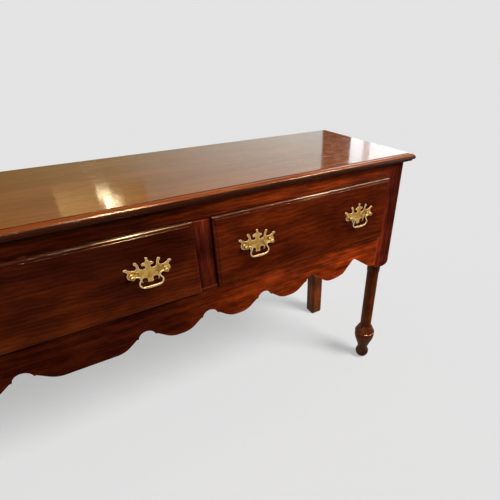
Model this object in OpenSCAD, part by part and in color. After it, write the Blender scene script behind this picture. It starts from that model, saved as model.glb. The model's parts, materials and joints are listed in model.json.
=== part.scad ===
// Three-drawer dresser base: joined frame on turned front legs, moulded top, scalloped apron,
// lipped and dovetailed drawers, and pierced brass handles with swinging bails.

/* [Carcase] */
// Width over the outer faces of the posts
carcase_w = 1848; // [1500:1:2300]
// Depth from the front of the posts to the back
carcase_d = 400; // [340:1:520]
// Height from the floor to the surface of the top
overall_h = 810; // [740:1:900]
// Side of each square front post
post_w = 60; // [52:0.5:72]
// Side of each square rear post
rear_post_w = 56; // [46:0.5:66]
// Chamfer on the arrises of the rear legs
rear_chamfer = 10; // [3:0.5:14]
// Height at which those chamfers stop
rear_chamfer_h = 470; // [300:1:520]
// Bevel round the bottom of a rear leg
rear_foot_bevel = 5; // [1:0.5:10]
// Width of the upright dividers between drawers
divider_w = 54; // [40:0.5:80]
// Thickness of the front rail, dividers and apron
rail_t = 22; // [18:0.5:28]
// Height of the front rail over the drawers
frieze_h = 47; // [30:0.5:80]
// Height of the drawer openings
opening_h = 180; // [130:1:210]
// Thickness of the end panels
panel_t = 18; // [12:0.5:22]
// Set-back of the end panels from the posts' outer faces
panel_setback = 4; // [1:0.5:10]
// Depth of the end panels below the drawer openings
panel_drop = 86; // [40:1:110]
// Height of the lower back rail
back_rail_h = 50; // [30:1:80]
// Thickness of the back boards
back_board_t = 12; // [8:0.5:16]
// Length of the tenons
tenon_l = 28; // [12:0.5:34]
// Thickness of the tenons
tenon_t = 10; // [6:0.5:12]
// Shoulder above and below each tenon
tenon_shoulder = 8; // [4:0.5:12]

/* [Top] */
// Thickness of the top
top_t = 22; // [20:0.5:30]
// Overhang of the top at the front
top_over_front = 25; // [16:0.5:40]
// Overhang of the top at each end
top_over_side = 20; // [12:0.5:35]
// Radius of the rounded nose
nose_r = 12; // [8:0.25:13]
// Height of the small step where the nose meets the flat
nose_step = 1.5; // [0.5:0.25:2.5]
// Width of the flat ledge behind the nose
nose_ledge = 2.5; // [1:0.25:5]
// Flat land below the nose
nose_land = 1.25; // [0.5:0.25:3]
// Radius of the hollow under the nose
cove_r = 5.5; // [3:0.25:6]

/* [Apron] */
// Height of the apron, from the drawer openings to the bottom of its lobes
apron_h = 112; // [90:1:140]
// Drop of the lobes below the little steps beside each arch
lobe_drop = 26; // [18:0.5:34]
// Radius of the lobes
lobe_r = 50; // [36:0.5:60]
// Run of half a lobe, from its lowest point to its step
lobe_run = 50; // [42:0.5:54]
// Radius of the small round arches
arch_r = 20.3; // [14:0.1:24]
// Rise of the arches above the steps
arch_rise = 17; // [10:0.5:20]
// Width of the step on each side of an arch
step_w = 4.5; // [2:0.25:7]
// Round arches on each side of the centre, where the width has room for them
arch_count = 4; // [2:1:4]
// Distance from the centre to the first arch
arch_first = 128; // [110:1:150]
// Distance from the peak of the last, pointed arch to the post
peak_inset = 94; // [88:0.5:120]
// Rise of that peak above the bottom of the lobes
peak_rise = 49; // [40:0.5:60]

/* [Turned front legs] */
// Height of the lower end of the square part
pommel_h = 450; // [420:1:460]
// Height of the rounded shoulder under the square
pommel_drop = 20; // [12:0.5:26]
// Radius of the collar under the shoulder
collar_r = 22; // [21:0.25:25]
// Height of the collar
collar_h = 28; // [16:0.5:36]
// Radius of the plain column
column_r = 20.2; // [16:0.2:20.6]
// Greatest radius of the vase
vase_r = 36.3; // [30:0.1:40]
// Radius of the neck between vase and ball
neck_r = 18.9; // [15:0.1:20]
// Radius of the ball foot
ball_r = 24.9; // [22:0.1:28]
// Height of the middle of the ball over the floor
ball_z = 22.4; // [18:0.1:23]

/* [Drawers] */
// Room between the back of a drawer and the back rails, which its stops fill
stop_room = 21; // [12:0.5:60]
// Height by which the drawer faces stand proud of the posts
face_proud = 9.5; // [7:0.25:12]
// Lap of the lip over the frame
lip_lap = 5; // [3:0.25:8]
// Thickness of the lip at its edge
lip_edge = 3; // [2:0.25:4]
// Radius of the rounded edge of the face
lip_r = 5.2; // [3:0.1:5.5]
// Ledge between the rounded edge and the face
lip_ledge = 3.2; // [1:0.1:5]
// Thickness of the part of the front that enters the opening
front_t = 12.5; // [11:0.25:16]
// Thickness of the drawer sides
side_t = 11; // [8:0.5:14]
// Thickness of the drawer back
drawer_back_t = 10; // [8:0.5:14]
// Height by which the drawer back stays below the sides
drawer_back_drop = 6; // [2:0.5:12]
// Thickness of the drawer bottom
bottom_t = 8; // [6:0.5:10]
// Height of the bottom above the lower edge of the sides
bottom_rise = 7; // [5:0.5:12]
// Depth of the grooves that hold the bottom
groove_d = 5; // [3:0.5:6]
// Dovetails on the front end of a side
tail_count = 4; // [3:1:5]
// Length of the front dovetails
tail_l = 10; // [8:0.5:11]
// Width of a pin at its narrow end
pin_w = 7; // [4:0.5:10]
// Slope of the dovetails, in degrees
tail_slope = 8; // [6:0.5:12]
// Clearance on each side of a drawer
side_gap = 1.5; // [0.8:0.1:2.5]
// Clearance over a drawer
top_gap = 2; // [1:0.1:3]
// Clearance where a drawer rests, and behind its lip
seat_gap = 0.3; // [0.2:0.05:0.5]

/* [Runners] */
// Thickness of the runners and of the kickers over the drawers
runner_t = 20; // [14:0.5:26]
// Width of a runner under a drawer side
runner_reach = 28; // [18:0.5:40]
// Height of the guides beside the drawer sides
guide_h = 24; // [14:0.5:40]
// Height of the stops behind the drawer sides
stop_h = 18; // [12:0.5:30]
// Side of the triangular glue blocks under the top
block_w = 24; // [14:0.5:26]
// Length of the glue blocks
block_l = 70; // [40:1:120]

/* [Handles] */
// Distance of each handle from the middle of its drawer
handle_x = 164; // [120:1:190]
// Height of the handle posts over the bottom of the opening
handle_z = 93; // [70:1:110]
// Distance between the two posts of a handle
post_spacing = 72; // [66:0.5:80]
// Thickness of the pierced backplate
plate_t = 1.8; // [1:0.1:2.5]
// Radius of the ball head of a post
head_r = 6; // [5:0.1:7]
// Distance from the plate to the middle of the head
head_stand = 9.8; // [8:0.1:12]
// Radius of the neck under the head
head_neck_r = 3.4; // [2.6:0.1:4.2]
// Radius of the bolt that is one piece with the head
bolt_r = 2.1; // [1.6:0.05:2.6]
// Clearance round the bolt in the wood and the plate
bolt_gap = 0.3; // [0.1:0.05:0.6]
// Length of the bolt inside the drawer
bolt_end = 6.5; // [6:0.5:10]
// Side of the square nut
nut_w = 9.5; // [8:0.5:12]
// Thickness of the nut
nut_t = 4; // [3:0.5:5]
// Drop of the bail below its pivot
bail_drop = 31; // [26:0.5:36]
// Radius of the bail's wire
wire_r = 1.9; // [1.8:0.05:2.4]
// Radius of the bail in the middle of its grip
grip_r = 3; // [2.4:0.1:3.8]
// Radius of the pins at the ends of the bail
pin_r = 1.6; // [1.2:0.05:1.75]
// Radial clearance of the pins
pin_gap = 0.05; // [0.02:0.01:0.08]
// Depth of the pin holes in the heads
pin_depth = 4.5; // [3:0.25:5.5]

/* [Hidden] */
$fn = 64;
eps = 1;
half_w = carcase_w / 2;
opening_w = (carcase_w - 2 * post_w - 2 * divider_w) / 3;
bay_pitch = opening_w + divider_w;
top_z = overall_h - top_t;
frieze_z = top_z - frieze_h;
open_z = frieze_z - opening_h;
apron_z = open_z - apron_h;
panel_z = open_z - panel_drop;
span = half_w - post_w;
back_y = carcase_d - back_board_t;
back_rail_y = back_y - rail_t;
drawer_l = back_rail_y - stop_room;
rear_post_x = half_w - rear_post_w;
rear_post_y = carcase_d - rear_post_w;
panel_x = half_w - panel_setback - panel_t;
pivot_y = -(face_proud + plate_t + head_stand);
front_reach = max(top_over_front, head_r - pivot_y);
frame_y = (front_reach - carcase_d) / 2;

box_w = opening_w / 2 - side_gap;
box_z0 = open_z + seat_gap;
box_z1 = frieze_z - top_gap;
bottom_z = box_z0 + bottom_rise;
back_z0 = bottom_z + bottom_t;
back_z1 = box_z1 - drawer_back_drop;
tail_y = front_t - tail_l;
drawer_back_y = drawer_l - drawer_back_t;

bays = ["left", "middle", "right"];
sides = ["left", "right"];

oak_colour = "#b98c58";
case_colour = "#7a2a12";
drawer_colour = "#4f1a10";
brass_colour = "#c9a24a";

// Smooth curve through points, by Catmull-Rom
function bend(a, b, c, d, t) =
    0.5 * (2 * b + (c - a) * t + (2 * a - 5 * b + 4 * c - d) * t * t
        + (3 * b - a - 3 * c + d) * t * t * t);
function curve(p, n = 4) =
    let (last = len(p) - 1)
    concat([for (i = [0 : last - 1], k = [0 : n - 1])
        bend(p[max(i - 1, 0)], p[i], p[i + 1], p[min(i + 2, last)], k / n)], [p[last]]);
function arc(centre, r, from, to, n = 8) =
    [for (i = [0 : n]) let (a = from + (to - from) * i / n) centre + r * [cos(a), sin(a)]];
function reversed(p) = [for (i = [len(p) - 1 : -1 : 0]) p[i]];
function mirrored(p) = [for (q = reversed(p)) [-q[0], q[1]]];
function side_sign(side) = side == "left" ? -1 : 1;
function bay_x(bay) = bay_pitch * (bay == "left" ? -1 : bay == "right" ? 1 : 0);

// The outline is drawn from the posts' front face, and the part's origin is under its middle
module place() translate([0, frame_y, 0]) children();
module block(low, high) translate(low) cube(high - low);
module both_sides() {
    children();
    mirror([1, 0, 0]) children();
}
// Extrude an outline drawn in Y and Z along X
module along_x(length) rotate([90, 0, 90]) linear_extrude(length) children();
// Extrude an outline drawn in X and Z towards the front
module along_front(length) rotate([90, 0, 0]) linear_extrude(length) children();

// Section of the top: a square-edged board less its nose, step and cove
module nose_bite() {
    nose_z = top_t - nose_step - nose_r;
    cove_z = nose_z - nose_land;
    difference() {
        translate([-eps, nose_z]) square([eps + nose_r + nose_ledge, top_t - nose_z + eps]);
        translate([nose_r, nose_z]) circle(nose_r);
        translate([nose_r, nose_z]) square([nose_ledge + eps, nose_r]);
    }
    translate([-eps, -eps]) square([eps + nose_land, eps + cove_z]);
    translate([nose_land, 0]) circle(min(cove_r, cove_z - nose_land / 2));
}

module top_board() {
    width = carcase_w + 2 * top_over_side;
    depth = carcase_d + top_over_front;
    color(case_colour) place() translate([0, 0, top_z]) intersection() {
        translate([-width / 2 - eps, -top_over_front, 0]) along_x(width + 2 * eps) difference() {
            square([depth, top_t]);
            nose_bite();
        }
        translate([-width / 2, carcase_d + eps, 0]) along_front(depth + 2 * eps) difference() {
            square([width, top_t]);
            nose_bite();
            translate([width, 0]) mirror([1, 0]) nose_bite();
        }
    }
}

// Tenons, which are also the shape of their mortises
module front_tenons(low, high) both_sides() block(
    [span - eps, (rail_t - tenon_t) / 2, low + tenon_shoulder],
    [span + tenon_l, (rail_t + tenon_t) / 2, high - tenon_shoulder]);
module back_tenons(low, high) both_sides() block(
    [rear_post_x - eps, back_rail_y + (rail_t - tenon_t) / 2, low + tenon_shoulder],
    [rear_post_x + tenon_l, back_rail_y + (rail_t + tenon_t) / 2, high - tenon_shoulder]);
module panel_tenon() both_sides() block(
    [panel_x + (panel_t - tenon_t) / 2, post_w - tenon_l, panel_z + tenon_shoulder],
    [panel_x + (panel_t + tenon_t) / 2, rear_post_y + tenon_l, top_z - tenon_shoulder]);
module divider_tenons() block(
    [-divider_w / 2 + tenon_shoulder, (rail_t - tenon_t) / 2, open_z - tenon_shoulder],
    [divider_w / 2 - tenon_shoulder, (rail_t + tenon_t) / 2, frieze_z + tenon_shoulder]);
module at_dividers() for (side = [-1, 1]) translate([side * bay_pitch / 2, 0, 0]) children();

// Height of the apron's tenons: from the level of its arches up
apron_tenon_z = apron_z + lobe_drop - tenon_shoulder;

module frame_tenons() {
    front_tenons(frieze_z, top_z);
    front_tenons(apron_tenon_z, open_z);
    back_tenons(frieze_z, top_z);
    back_tenons(open_z - back_rail_h, open_z);
    panel_tenon();
}

// Turned leg: radius and height from the floor up
vase_low = [[neck_r, ball_z + 16.6], [neck_r, ball_z + 23], [neck_r + 1.2, ball_z + 33],
    [neck_r + 4.6, ball_z + 43.5], [neck_r + 9.8, ball_z + 58.5], [vase_r - 2.4, ball_z + 73],
    [vase_r, ball_z + 87], [vase_r - 0.4, ball_z + 95], [vase_r - 1.8, ball_z + 100.5]];
bead_z = ball_z + 103.8;
bead_r = 3.3;
vase_high = [[vase_r - 2.6, ball_z + 107.2], [vase_r - 4.6, ball_z + 114.5],
    [vase_r - 9.2, ball_z + 125], [column_r + 2, ball_z + 133], [column_r, ball_z + 142]];
ball_top = asin(16.1 / ball_r);
leg_outline = concat(
    [[0, 0]],
    arc([0, ball_z], ball_r, -asin(ball_z / ball_r), ball_top, 14),
    curve(vase_low, 4),
    arc([vase_r - 2.6, bead_z], bead_r, -70, 70, 6),
    curve(vase_high, 4),
    [[column_r, pommel_h - pommel_drop - collar_h],
     [collar_r - 0.6, pommel_h - pommel_drop - collar_h],
     [collar_r, pommel_h - pommel_drop - collar_h + 1.5],
     [collar_r, pommel_h - pommel_drop + eps],
     [0, pommel_h - pommel_drop + eps]]
);
corner_r = post_w / sqrt(2) + eps;
shoulder_outline = concat(
    [[0, pommel_h - pommel_drop], [collar_r, pommel_h - pommel_drop]],
    [for (a = [10 : 10 : 90])
        [collar_r + (corner_r - collar_r) * sin(a), pommel_h - pommel_drop * cos(a)]],
    [[corner_r, top_z], [0, top_z]]
);

module front_post(side) color(case_colour) place() difference() {
    translate([side_sign(side) * (half_w - post_w / 2), post_w / 2, 0]) {
        rotate_extrude() polygon(leg_outline);
        intersection() {
            rotate_extrude() polygon(shoulder_outline);
            block([-post_w / 2, -post_w / 2, pommel_h - pommel_drop], [post_w / 2, post_w / 2, top_z]);
        }
    }
    frame_tenons();
}

module rear_post(side) color(case_colour) place() difference() {
    translate([side_sign(side) * (half_w - rear_post_w / 2), carcase_d - rear_post_w / 2, 0]) difference() {
        translate([0, 0, top_z / 2]) cube([rear_post_w, rear_post_w, top_z], center = true);
        for (quarter = [0 : 3]) rotate(90 * quarter) {
            translate([rear_post_w / 2, rear_post_w / 2, -eps]) rotate(45)
                translate([-rear_chamfer / sqrt(2), -rear_post_w / 2, 0])
                cube([rear_post_w, rear_post_w, rear_chamfer_h + eps]);
            translate([rear_post_w / 2, 0, 0]) rotate([0, 45, 0])
                cube([rear_foot_bevel * sqrt(2), rear_post_w + eps, rear_foot_bevel * sqrt(2)], center = true);
        }
    }
    frame_tenons();
}

module front_rail() color(case_colour) place() difference() {
    union() {
        block([-span, 0, frieze_z], [span, rail_t, top_z]);
        front_tenons(frieze_z, top_z);
    }
    at_dividers() divider_tenons();
}

module divider(side) color(case_colour) place() translate([side_sign(side) * bay_pitch / 2, 0, 0]) {
    block([-divider_w / 2, 0, open_z], [divider_w / 2, rail_t, frieze_z]);
    divider_tenons();
}

// Half of the apron's lower edge, from the centre to the post
step_z = apron_z + lobe_drop;
lobe_slant = asin(lobe_r / norm([lobe_run, lobe_r - lobe_drop])) - atan2(lobe_r - lobe_drop, lobe_run);
peak_x = span - peak_inset;
arch_half = sqrt(arch_r * arch_r - pow(arch_r - arch_rise, 2));
least_pitch = 2 * (arch_half + step_w + lobe_run);
arches = min(arch_count, floor((peak_x - arch_first) / least_pitch));
arch_pitch = (peak_x - arch_first) / arches;
peak_corner = 40;
peak_r = 8;
peak_steep = 48;
peak_gentle = 36;

function lobe_up(x) = arc([x, apron_z + lobe_r], lobe_r, -90, -90 + lobe_slant);
function lobe_down(x) = arc([x, apron_z + lobe_r], lobe_r, -90 - lobe_slant, -90);
function arch(x) =
    let (open = asin(arch_half / arch_r))
    concat([[x - arch_half - step_w, step_z]],
        arc([x, step_z + arch_rise - arch_r], arch_r, 90 + open, 90 - open, 10),
        [[x + arch_half + step_w, step_z]]);
// The last lobe rises to a corner, and from there to a pointed arch beside the post
function end_sweep() =
    let (peak = [peak_x, apron_z + peak_rise - peak_r],
         rise_from = peak + peak_r * [cos(90 + peak_steep), sin(90 + peak_steep)],
         fall_from = peak + peak_r * [cos(90 - peak_gentle), sin(90 - peak_gentle)],
         corner = [peak_x - peak_corner,
             rise_from[1] - (rise_from[0] - peak_x + peak_corner) * tan(peak_steep)],
         start = peak_x - arch_pitch + arch_half + step_w + lobe_run,
         run = corner[0] - start,
         rise = corner[1] - apron_z,
         sweep_r = (run * run + rise * rise) / (2 * rise),
         foot_z = apron_z + lobe_r * (1 - cos(peak_gentle)),
         foot_x = fall_from[0] + (fall_from[1] - foot_z) / tan(peak_gentle) + lobe_r * sin(peak_gentle))
    concat(arc([start, apron_z + sweep_r], sweep_r, -90, -90 + asin(run / sweep_r), 6),
        arc(peak, peak_r, 90 + peak_steep, 90 - peak_gentle, 6),
        arc([foot_x, apron_z + lobe_r], lobe_r, -90 - peak_gentle, -90, 6));
half_apron = concat(
    lobe_up(arch_first - arch_half - step_w - lobe_run),
    [for (i = [0 : arches - 1])
        let (x = arch_first + i * arch_pitch)
        each concat(
            arch(x),
            lobe_down(x + arch_half + step_w + lobe_run),
            i == arches - 1 ? [] : lobe_up(x + arch_pitch - arch_half - step_w - lobe_run))],
    end_sweep(),
    [[span, apron_z]]
);

module front_apron() color(case_colour) place() difference() {
    union() {
        translate([0, rail_t, 0]) along_front(rail_t)
            polygon(concat(mirrored(half_apron), half_apron, [[span, open_z], [-span, open_z]]));
        front_tenons(apron_tenon_z, open_z);
    }
    at_dividers() divider_tenons();
}

module end_panel(side) color(case_colour) place() scale([side_sign(side), 1, 1]) intersection() {
    block([0, 0, 0], [half_w, carcase_d, overall_h]);
    union() {
        block([panel_x, post_w, panel_z], [panel_x + panel_t, rear_post_y, top_z]);
        panel_tenon();
    }
}

module back_rail(low, high) color(oak_colour) place() {
    block([-rear_post_x, back_rail_y, low], [rear_post_x, back_y, high]);
    back_tenons(low, high);
}

module back_board(low, high) color(oak_colour) place()
    block([-rear_post_x, back_y, low], [rear_post_x, carcase_d, high]);

// Runners and kickers share one plan: strips that reach under, or over, each drawer side
module end_strip(low, high) difference() {
    block([span - runner_reach, rail_t, low], [panel_x, back_rail_y, high]);
    block([span, -eps, low - eps], [half_w, post_w, high + eps]);
    block([rear_post_x, rear_post_y, low - eps], [half_w, carcase_d, high + eps]);
}
module mid_strip(low, high) block(
    [bay_pitch / 2 - divider_w / 2 - runner_reach, rail_t, low],
    [bay_pitch / 2 + divider_w / 2 + runner_reach, back_rail_y, high]);

module runner(side, middle) color(oak_colour) place() scale([side_sign(side), 1, 1])
    if (middle) mid_strip(open_z - runner_t, open_z);
    else end_strip(open_z - runner_t, open_z);

module kickers() color(oak_colour) place() both_sides() {
    mid_strip(frieze_z, frieze_z + runner_t);
    end_strip(frieze_z, frieze_z + runner_t);
}

module drawer_guides() color(oak_colour) place() both_sides() {
    block([bay_pitch / 2 - divider_w / 2, rail_t, open_z],
        [bay_pitch / 2 + divider_w / 2, back_rail_y, open_z + guide_h]);
    block([span, post_w, open_z], [panel_x, rear_post_y, open_z + guide_h]);
}

// A stop behind each drawer side, on its runner
module drawer_stops() color(oak_colour) place() for (bay = bays) translate([bay_x(bay), 0, 0])
    both_sides() block([opening_w / 2 - runner_reach, drawer_l + seat_gap, open_z],
        [opening_w / 2 - side_gap, back_rail_y, open_z + stop_h]);

module glue_block() rotate([90, 0, 90]) translate([0, 0, -block_l / 2]) linear_extrude(block_l)
    polygon([[0, 0], [block_w, 0], [0, -block_w]]);
module glue_blocks() color(oak_colour) place() {
    for (bay = bays, place_x = [-1, 1]) translate([bay_x(bay) + place_x * handle_x, 0, top_z]) {
        translate([0, rail_t, 0]) glue_block();
        translate([0, back_rail_y, 0]) mirror([0, 1, 0]) glue_block();
    }
    both_sides() translate([panel_x, (post_w + rear_post_y) / 2, top_z]) rotate(90) glue_block();
}

// Section across a drawer face: a board less the moulding on each edge
lip_t = face_proud - seat_gap;
module lip_bite() {
    difference() {
        translate([-eps, lip_edge]) square([eps + lip_r + lip_ledge, lip_t]);
        translate([lip_r, lip_edge]) circle(min(lip_r, lip_t - lip_edge));
        translate([lip_r, 0]) square([lip_ledge + eps, lip_edge + min(lip_r, lip_t - lip_edge)]);
    }
}
module lip_section(width) difference() {
    square([width, lip_t]);
    lip_bite();
    translate([width, 0]) mirror([1, 0]) lip_bite();
}

// Dovetails, drawn in Y and Z: the middles and half widths of the front tails and of the back's pins
tail_pitch = (box_z1 - box_z0) / tail_count;
tail_z = [for (i = [0 : tail_count - 1]) box_z0 + (i + 0.5) * tail_pitch];
tail_wide = (tail_pitch - pin_w) / 2;
tail_narrow = tail_wide - tail_l * tan(tail_slope);
back_pitch = (back_z1 - back_z0) / (tail_count - 1);
pin_z = [for (i = [0 : tail_count - 2]) back_z0 + (i + 0.5) * back_pitch];
pin_narrow = pin_w / 2;
pin_wide = pin_narrow + drawer_back_t * tan(tail_slope);

function tail(z) = [[front_t, z - tail_narrow], [tail_y, z - tail_wide],
    [tail_y, z + tail_wide], [front_t, z + tail_narrow]];
function pin(z) = [[drawer_l, z + pin_narrow], [drawer_back_y, z + pin_wide],
    [drawer_back_y, z - pin_wide], [drawer_l, z - pin_narrow]];
side_outline = concat([[front_t, box_z0]], [for (z = tail_z) each tail(z)],
    [[front_t, box_z1], [drawer_l, box_z1]], [for (z = reversed(pin_z)) each pin(z)],
    [[drawer_l, box_z0]]);

module bottom_board() block(
    [-(box_w - side_t + groove_d), front_t - groove_d, bottom_z],
    [box_w - side_t + groove_d, drawer_l, bottom_z + bottom_t]);

module handle_places() for (side = [-1, 1], post = [-1, 1])
    translate([side * handle_x + post * post_spacing / 2, 0, open_z + handle_z]) children();

module drawer_front(bay) {
    face_w = opening_w + 2 * lip_lap;
    face_h = opening_h + 2 * lip_lap;
    color(drawer_colour) place() translate([bay_x(bay), 0, 0]) difference() {
        union() {
            translate([0, -seat_gap, open_z - lip_lap]) mirror([0, 1, 0]) intersection() {
                translate([-face_w / 2, 0, -eps]) linear_extrude(face_h + 2 * eps) lip_section(face_w);
                translate([face_w / 2 + eps, 0, 0]) rotate([0, -90, 0])
                    linear_extrude(face_w + 2 * eps) lip_section(face_h);
            }
            block([-box_w, -seat_gap - eps, box_z0], [box_w, front_t, box_z1]);
        }
        both_sides() translate([box_w - side_t, 0, 0]) along_x(side_t + eps)
            for (z = tail_z) polygon(concat(tail(z), [[front_t + eps, z + tail_narrow],
                [front_t + eps, z - tail_narrow]]));
        bottom_board();
        handle_places() rotate([90, 0, 0])
            cylinder(r = bolt_r + bolt_gap, h = 2 * (front_t + face_proud), center = true);
    }
}

module drawer_side(bay, side) color(oak_colour) place() translate([bay_x(bay), 0, 0])
    scale([side_sign(side), 1, 1]) difference() {
        translate([box_w - side_t, 0, 0]) along_x(side_t) polygon(side_outline);
        bottom_board();
    }

module drawer_back(bay) color(oak_colour) place() translate([bay_x(bay), 0, 0]) {
    block([-(box_w - side_t), drawer_back_y, back_z0], [box_w - side_t, drawer_l, back_z1]);
    both_sides() translate([box_w - side_t - eps, 0, 0]) along_x(side_t + eps)
        for (z = pin_z) polygon(pin(z));
}

module drawer_bottom(bay) color(oak_colour) place() translate([bay_x(bay), 0, 0]) bottom_board();

// Handle: drawn round the point midway between its posts, X to the right and Z up
module at_handle(bay, side) color(brass_colour) place()
    translate([bay_x(bay) + side_sign(side) * handle_x, 0, open_z + handle_z]) children();

// Right half of the backplate's outline, from the foot up to the finial
disc_r = 10.5;
post_u = post_spacing / 2;
half_plate = concat(
    curve([[0, -25.5], [5, -24.8], [8.4, -22.6]], 3),
    arc([12.6, -19.4], 4.6, 205, -5, 8),
    curve([[19.2, -18], [21.6, -13.5], [post_u - 8.6, -6.1]], 3),
    arc([post_u, 0], disc_r, -145, 50, 12),
    curve([[post_u + 9, 10.6], [post_u + 14.4, 14.6], [post_u + 14.6, 18.2], [post_u + 9, 20.6],
        [post_u + 3.4, 17.4], [post_u - 2, 11.4], [post_u - 9, 10.6]], 3),
    curve([[24.8, 13.4], [23.8, 19.4], [28.6, 25.4], [26.6, 29.6], [20.8, 28.4], [17.4, 21.6], [16.8, 12.4]], 3),
    curve([[14.4, 10.2], [8.2, 10], [4.8, 14.4], [7.4, 17.8]], 3),
    curve([[12.4, 19.4], [12.2, 24], [6.4, 26.2], [2.4, 30], [0, 36.5]], 3)
);

module backplate(bay, side) at_handle(bay, side) translate([0, -face_proud, 0]) difference() {
    along_front(plate_t) polygon(concat(half_plate, mirrored(half_plate)));
    for (post = [-1, 1]) translate([post * post_u, 0, 0]) rotate([90, 0, 0])
        cylinder(r = bolt_r + bolt_gap, h = 3 * plate_t, center = true);
}

// Post: a turned head, its neck and foot on the plate, the bolt through the front, and a nut
head_foot_r = 5.2;
head_foot_t = 0.8;
post_outline = concat(
    [[0, 0], [head_foot_r, 0], [head_foot_r, head_foot_t], [head_neck_r + 0.4, head_foot_t + 1.2]],
    arc([0, head_stand], head_r, -asin(sqrt(1 - pow(head_neck_r / head_r, 2))), 90, 12)
);
module handle_posts(bay, side) at_handle(bay, side) for (post = [-1, 1]) {
    translate([post * post_u, 0, 0]) {
        difference() {
            union() {
                translate([0, -face_proud - plate_t, 0]) rotate([90, 0, 0])
                    rotate_extrude() polygon(post_outline);
                translate([0, front_t + bolt_end, 0]) rotate([90, 0, 0])
                    cylinder(r = bolt_r, h = front_t + bolt_end + face_proud + plate_t + eps);
            }
            translate([-post * head_r, pivot_y, 0]) rotate([0, 90, 0])
                cylinder(r = pin_r + pin_gap, h = 2 * (pin_depth), center = true);
        }
        difference() {
            translate([-nut_w / 2, front_t, -nut_w / 2]) cube([nut_w, nut_t, nut_w]);
            translate([0, front_t, 0]) rotate([90, 0, 0])
                cylinder(r = bolt_r + pin_gap, h = 3 * nut_t, center = true);
        }
    }
}

// Swan-neck bail: the wire runs in from each post, bows out below it and thickens at the grip
bail_u = post_u - head_r - seat_gap;
half_bail = curve([[bail_u, 0], [bail_u - 4.6, -0.4], [bail_u - 8.6, -2.9], [bail_u - 9.6, -7],
    [bail_u - 7.6, -12], [bail_u - 4.9, -17], [bail_u - 4.7, -22], [bail_u - 8.4, 3 - bail_drop],
    [bail_u - 15, 0.6 - bail_drop], [0, -bail_drop]], 3);
bail_path = concat(half_bail, [for (i = [len(half_bail) - 2 : -1 : 0]) [-half_bail[i][0], half_bail[i][1]]]);
bail_sides = 12;
function wire(p) = wire_r + (grip_r - wire_r) * pow(max(0, cos(90 * min(1, abs(p[0]) / bail_u))), 3)
    * (p[1] < 1 - 0.8 * bail_drop ? 1 : 0);
function heading(i) =
    let (a = bail_path[max(i - 1, 0)], b = bail_path[min(i + 1, len(bail_path) - 1)], d = b - a)
    (i == 0 || i == len(bail_path) - 1) ? [-1, 0] : d / norm(d);

module bail_wire() {
    rings = len(bail_path);
    points = [for (i = [0 : rings - 1], k = [0 : bail_sides - 1])
        let (p = bail_path[i], t = heading(i), r = wire(p), a = 360 * k / bail_sides)
        [p[0] - t[1] * r * cos(a), r * sin(a), p[1] + t[0] * r * cos(a)]];
    walls = [for (i = [0 : rings - 2], k = [0 : bail_sides - 1])
        let (a = i * bail_sides + k, b = i * bail_sides + (k + 1) % bail_sides)
        each [[a, b, b + bail_sides], [a, b + bail_sides, a + bail_sides]]];
    first_cap = [[for (k = [bail_sides - 1 : -1 : 0]) k]];
    last_cap = [[for (k = [0 : bail_sides - 1]) (rings - 1) * bail_sides + k]];
    polyhedron(points, concat(walls, first_cap, last_cap), convexity = 6);
}

module bail(bay, side) at_handle(bay, side) translate([0, pivot_y, 0]) {
    bail_wire();
    both_sides() translate([bail_u - eps, 0, 0]) rotate([0, 90, 0])
        cylinder(r = pin_r, h = pin_depth - seat_gap + eps);
}

top_board();
front_post("left");  // front_post_left
front_post("right");  // front_post_right
rear_post("left");  // rear_post_left
rear_post("right");  // rear_post_right
front_rail();
divider("left");  // divider_left
divider("right");  // divider_right
front_apron();
end_panel("left");  // end_panel_left
end_panel("right");  // end_panel_right
back_rail(frieze_z, top_z);  // upper_back_rail
back_rail(open_z - back_rail_h, open_z);  // lower_back_rail
back_board((panel_z + top_z) / 2, top_z);  // upper_back_board
back_board(panel_z, (panel_z + top_z) / 2);  // lower_back_board
runner("left", false);  // runner_left
runner("left", true);  // runner_mid_left
runner("right", true);  // runner_mid_right
runner("right", false);  // runner_right
drawer_guides();
kickers();
drawer_stops();
glue_blocks();
for (bay = bays) {
    drawer_front(bay);
    drawer_side(bay, "left");
    drawer_side(bay, "right");
    drawer_back(bay);
    drawer_bottom(bay);
    for (side = sides) {
        backplate(bay, side);
        handle_posts(bay, side);
        bail(bay, side);
    }
}
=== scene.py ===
import json
import math
import random

import bmesh
import bpy
from mathutils import Matrix, Vector
from mathutils.geometry import tessellate_polygon


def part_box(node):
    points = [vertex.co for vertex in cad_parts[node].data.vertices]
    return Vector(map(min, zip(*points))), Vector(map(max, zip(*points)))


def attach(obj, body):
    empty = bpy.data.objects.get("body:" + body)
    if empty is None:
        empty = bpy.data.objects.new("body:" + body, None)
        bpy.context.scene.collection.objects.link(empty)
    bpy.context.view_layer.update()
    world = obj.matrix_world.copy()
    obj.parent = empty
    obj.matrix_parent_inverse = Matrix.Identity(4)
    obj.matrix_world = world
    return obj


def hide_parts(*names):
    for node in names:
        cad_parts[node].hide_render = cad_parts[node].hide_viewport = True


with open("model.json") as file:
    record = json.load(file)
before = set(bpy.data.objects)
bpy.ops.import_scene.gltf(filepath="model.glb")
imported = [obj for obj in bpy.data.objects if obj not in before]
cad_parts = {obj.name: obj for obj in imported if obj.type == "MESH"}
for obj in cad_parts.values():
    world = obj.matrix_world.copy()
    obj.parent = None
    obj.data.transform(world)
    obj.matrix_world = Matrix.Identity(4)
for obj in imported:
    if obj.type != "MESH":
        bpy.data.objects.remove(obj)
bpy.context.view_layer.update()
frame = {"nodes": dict(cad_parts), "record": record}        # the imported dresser: bodies, nodes, joints and record
scene = bpy.context.scene
nodes = frame["nodes"]
bodies = frame["record"]["behaviour"]["bodies"]
bodyOf = {name: body for body, members in bodies.items() for name in members}
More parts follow.
